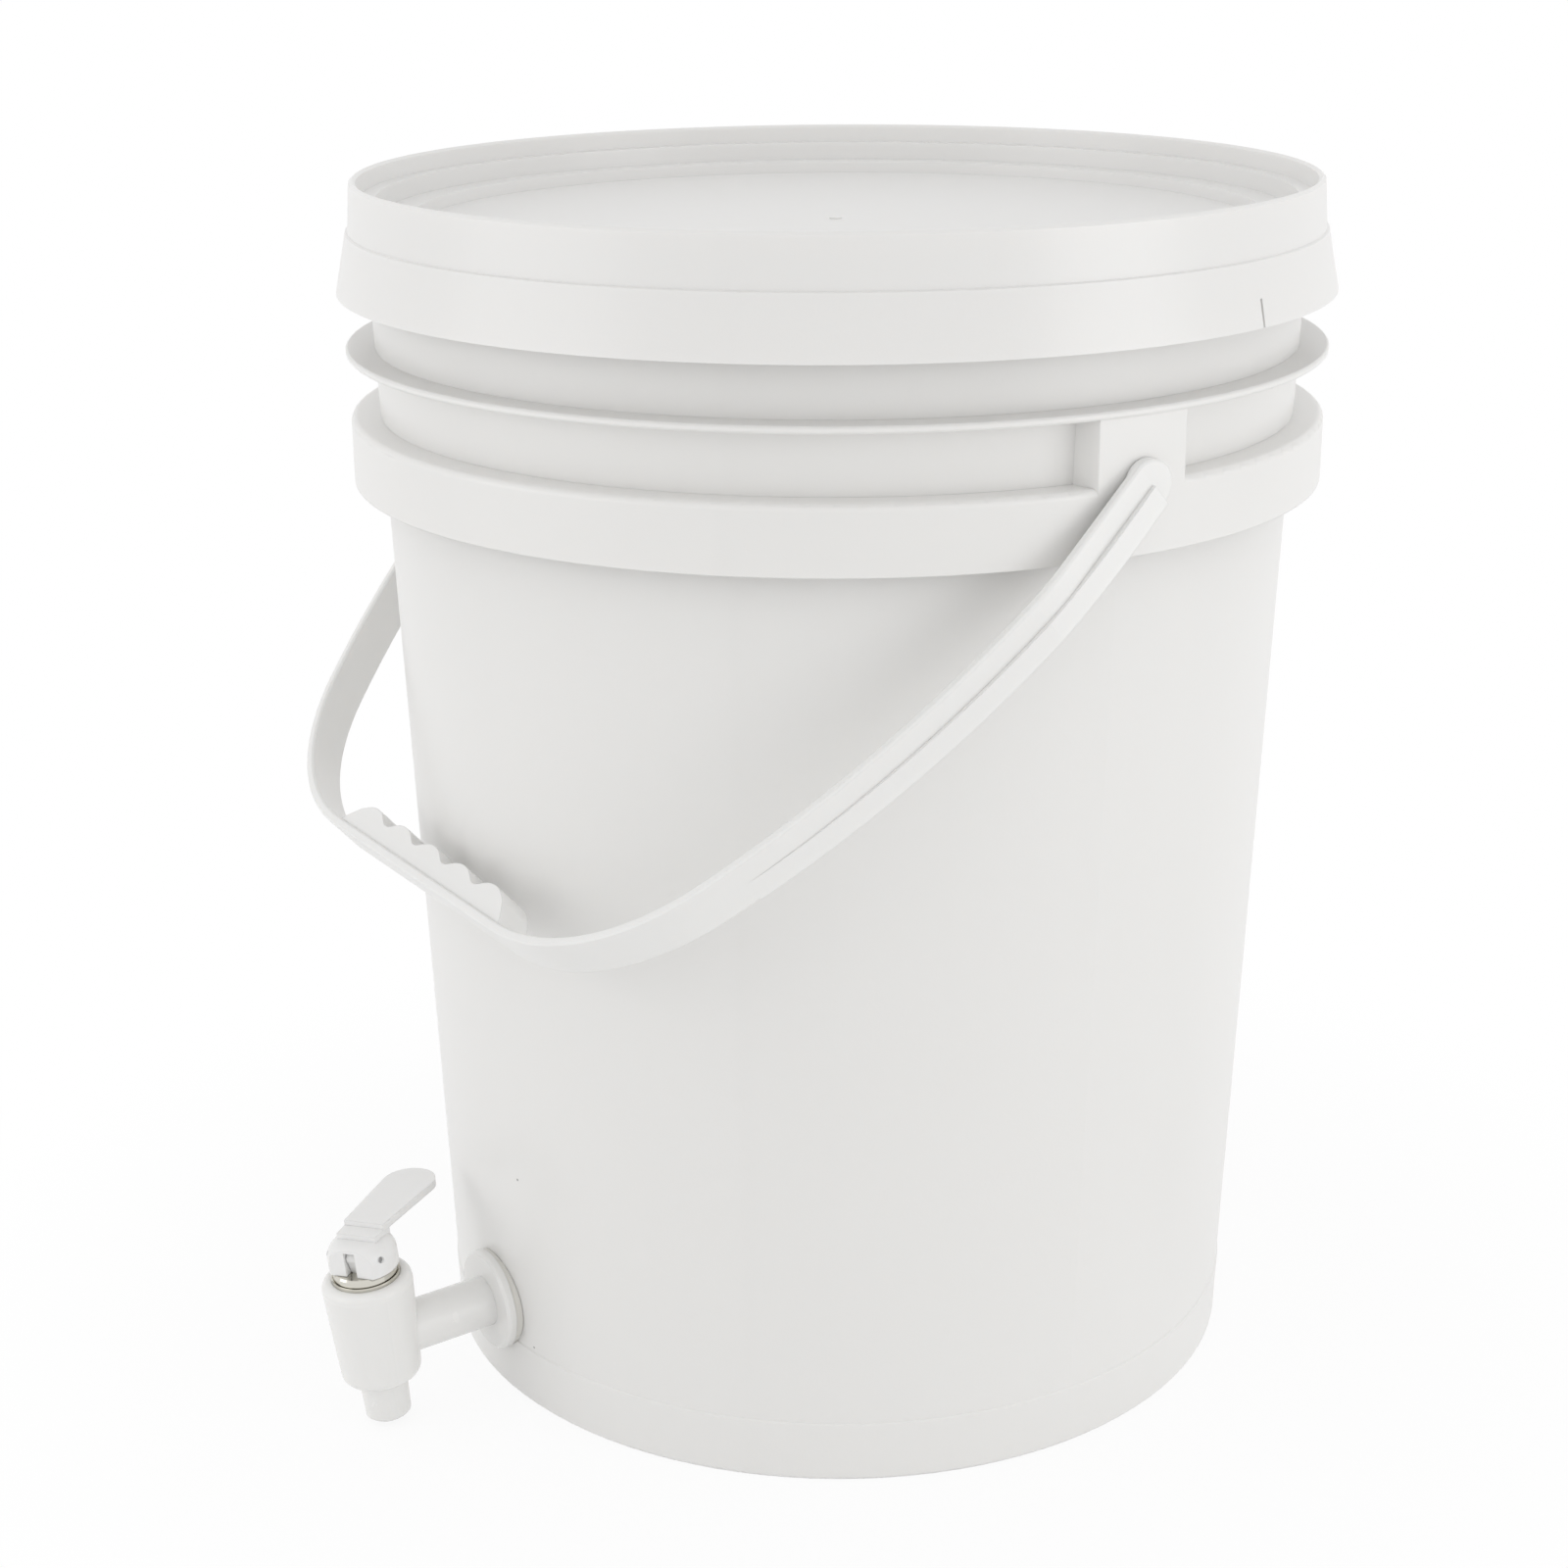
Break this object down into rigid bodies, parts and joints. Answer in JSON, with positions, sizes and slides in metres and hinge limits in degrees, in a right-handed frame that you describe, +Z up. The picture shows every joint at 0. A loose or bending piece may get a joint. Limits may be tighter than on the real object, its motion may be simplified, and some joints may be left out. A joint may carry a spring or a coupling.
{
  "type": "paint pail with spigot",
  "caption": "White moulded pail with a press-on lid, a strap bail with a finger grip and a push-lever tap near the bottom.",
  "frame": {"origin": "the pail's axis on the ground, in the plane of its foot ring", "axes": "+Z up along the pail's axis, +X through one bail ear, -Y towards the tap"},
  "size_m": [0.32, 0.3471, 0.3838],
  "materials": {
    "pail_plastic": "translucent white polypropylene, soft gloss",
    "lid_plastic": "white polypropylene, soft gloss",
    "bail_plastic": "white polyethylene strap",
    "tap_plastic": "milky natural polypropylene",
    "lever_plastic": "milky translucent polypropylene",
    "stem_plastic": "moulded acetal",
    "bonnet_chrome": "bright plated collar",
    "pin_steel": "drawn steel",
    "spring_steel": "drawn stainless wire",
    "washer_rubber": "white soft rubber",
    "seal_silicone": "translucent silicone"
  },
  "bodies": {
    "pail": {"pail_body": "pail_plastic", "tap_body": "tap_plastic", "tap_outer_washer": "washer_rubber", "tap_inner_washer": "washer_rubber", "tap_lock_nut": "stem_plastic", "tap_bonnet": "bonnet_chrome", "valve_spring": "spring_steel"},
    "lid": {"lid": "lid_plastic", "lid_gasket": "washer_rubber"},
    "bail": {"bail": "bail_plastic"},
    "stem": {"valve_stem": "stem_plastic", "valve_plug": "seal_silicone", "stem_seal": "seal_silicone"},
    "lever": {"tap_lever": "lever_plastic", "lever_pin": "pin_steel"}
  },
  "joints": [
    {"name": "lid_lift", "type": "slide", "parent": "pail", "child": "lid", "axis": [0, 0, 1], "range_m": [0, 0.05]},
    {"name": "bail_swing", "type": "hinge", "parent": "pail", "child": "bail", "pos_m": [0, 0, 0.3126], "axis": [-1, 0, 0], "range_deg": [0, 263]},
    {"name": "stem_lift", "type": "slide", "parent": "pail", "child": "stem", "axis": [0, -0.0992, 0.9951], "range_m": [0, 0.0041], "stiffness_N_per_m": 500, "springref_m": -0.004, "deforming": ["valve_spring"]},
    {"name": "lever_tilt", "type": "hinge", "parent": "stem", "child": "lever", "pos_m": [0.00297, -0.1829, 0.062], "axis": [-0.7955, -0.603, -0.0601], "range_deg": [0, 22]}
  ],
  "couplings": [
    {"joint": "stem_lift", "follows": "lever_tilt", "m_per_rad": 0.0105}
  ]
}
